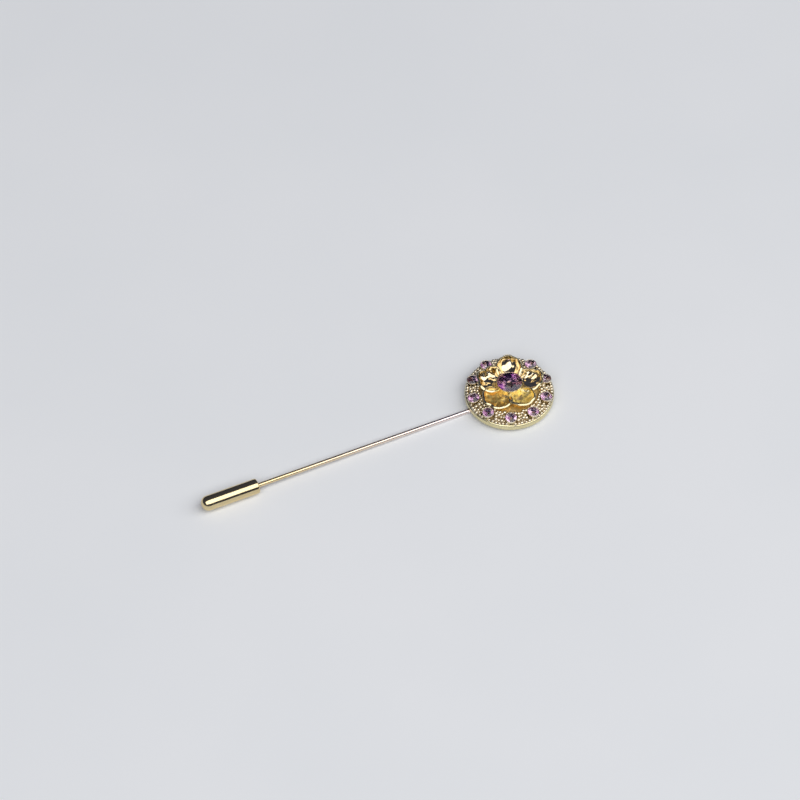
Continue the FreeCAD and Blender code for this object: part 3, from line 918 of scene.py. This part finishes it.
def make_light():
    """One large soft light above, in front and to the head's side, and a nearly dark room."""
    light = bpy.data.lights.new("softbox", "AREA")
    light.shape = "RECTANGLE"
    light.size = LIGHT_WIDTH
    light.size_y = LIGHT_HEIGHT
    light.energy = LIGHT_POWER
    elevation = math.radians(LIGHT_ELEVATION)
    toward = Vector((0, -math.cos(elevation), math.sin(elevation)))
    lamp = bpy.data.objects.new("softbox", light)
    lamp.location = toward * LIGHT_DISTANCE + Vector((LIGHT_ACROSS, 0, 0))
    lamp.rotation_mode = "QUATERNION"
    lamp.rotation_quaternion = (-toward).to_track_quat("-Z", "Y")
    bpy.context.scene.collection.objects.link(lamp)
    world = bpy.data.worlds.new("room")
    world.use_nodes = True
    world.node_tree.nodes["Background"].inputs["Color"].default_value = (*WORLD_COLOUR, 1)
    world.node_tree.nodes["Background"].inputs["Strength"].default_value = WORLD_LIGHT
    bpy.context.scene.world = world
    bpy.context.scene.view_settings.view_transform = "Standard"


# ---------------------------------------------------------------- all of it

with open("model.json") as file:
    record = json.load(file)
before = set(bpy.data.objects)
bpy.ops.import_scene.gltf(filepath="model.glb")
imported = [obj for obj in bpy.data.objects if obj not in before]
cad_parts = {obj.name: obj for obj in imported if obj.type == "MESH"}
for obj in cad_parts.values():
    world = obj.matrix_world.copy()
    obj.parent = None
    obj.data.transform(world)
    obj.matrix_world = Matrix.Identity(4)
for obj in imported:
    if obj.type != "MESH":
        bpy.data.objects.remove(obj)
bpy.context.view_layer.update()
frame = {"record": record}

head = Head()
wire_radius = frame["record"]["mounts"][0]["dims"]["r_mm"]
shell_low, shell_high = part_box("clutch_shell")
wire_height = (shell_low.z + shell_high.z) / 2 / MM
needle_low, needle_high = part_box("needle")
needle_point, needle_tail = needle_low.x / MM, needle_high.x / MM
shaft_end = head.middle.x - head.radius - SHAFT_BEFORE_DISC

pale_gold = metal("pale_gold", (0.83, 0.74, 0.57), (0.75, 0.65, 0.47), rough=(0.08, 0.2),
                  patch=1.4, grain=0.3, depth=0.012)
band_gold = metal("band_gold", (0.79, 0.71, 0.43), (0.73, 0.65, 0.38), rough=(0.16, 0.3),
                  patch=1.8, grain=0.4, depth=0.012)
# A dark brown gold for the field under the beads: painted shade in the gaps between the beads.
field_painted_shade = metal("field_painted_shade", (0.34, 0.25, 0.13), (0.18, 0.12, 0.06), rough=(0.3, 0.5),
                   patch=0.8, grain=0.2, depth=0.02)
# A deeper orange gold for the dome round the petals: painted bounce light from the petals.
warm_painted_bounce = metal("warm_painted_bounce", (0.96, 0.71, 0.33), (0.90, 0.62, 0.25), rough=(0.28, 0.42),
                  patch=1.5, grain=0.4, depth=0.02)
# The amber and yellow golds stand in for light bounced between the gold cups: painted bounce light.
amber_painted_bounce = metal("amber_painted_bounce", (0.98, 0.73, 0.25), (0.93, 0.58, 0.16), rough=(0.38, 0.52),
                   patch=0.9, grain=0.45, depth=0.04)
yellow_painted_bounce = metal("yellow_painted_bounce", (0.98, 0.81, 0.35), (0.95, 0.71, 0.23), rough=(0.30, 0.46),
                    patch=0.9, grain=0.45, depth=0.035)
rim_gold = metal("rim_gold", (0.82, 0.73, 0.46), (0.74, 0.63, 0.36), rough=(0.18, 0.34),
                 patch=1.3, grain=0.3, depth=0.012)
mirror_gold = metal("mirror_gold", (0.86, 0.77, 0.55), (0.72, 0.55, 0.31), rough=(0.05, 0.14),
                    patch=1.1, grain=0.35, depth=0.006)
clutch_gold = metal("clutch_gold", (0.77, 0.64, 0.37), (0.73, 0.59, 0.33), rough=(0.08, 0.18),
                    patch=2.5, grain=0.12, depth=0.003, stretch=(0.15, 1, 1))
solder_metal = metal("solder_metal", (0.62, 0.60, 0.56), (0.50, 0.48, 0.45), rough=(0.22, 0.45),
                     patch=0.9, grain=0.2, depth=0.02)
wire_metal = wire_material(shell_high.x / MM, shaft_end)
lilac_glass = glass("lilac_glass", (0.99, 0.90, 0.97), (0.93, 0.79, 0.91), cloud_size=0.7)
# The foils' bright and dark tones are painted glints and painted dark reflections.
lilac_foil = foil("lilac_foil", (1.0, 0.90, 0.93), (0.40, 0.24, 0.38), size=0.55,
                  rough=(0.06, 0.16))
amethyst_glass = glass("amethyst_glass", (0.97, 0.84, 0.93), (0.80, 0.54, 0.82), cloud_size=1.4)
amethyst_foil = foil("amethyst_foil", (1.0, 0.78, 0.90), (0.24, 0.09, 0.28), size=1.2,
                     rough=(0.05, 0.2))

make_disc(head, [pale_gold, field_painted_shade, warm_painted_bounce, band_gold])
make_blossom(head, [rim_gold, amber_painted_bounce, yellow_painted_bounce, mirror_gold])
for number in range(1, RIM_STONES + 1):
    node = "rim_stone_%02d" % number
    make_gem(head, "rim_gem_%02d" % number, node, RIM_STONE_RADIUS, lean=STONE_LEAN,
             twist=17.0 * number, materials=[lilac_glass, lilac_foil])
make_gem(head, "centre_gem", "centre_stone", CENTRE_STONE_RADIUS, lean=0.0, twist=9.0,
         materials=[amethyst_glass, amethyst_foil])
make_needle(wire_metal, wire_height, wire_radius, needle_point, needle_tail, shaft_end)
make_solder(solder_metal)
make_shell(clutch_gold, wire_height)
make_liner(nylon_material(), wire_height)

make_floor(wire_height, needle_tail)
make_camera(head)
make_light()
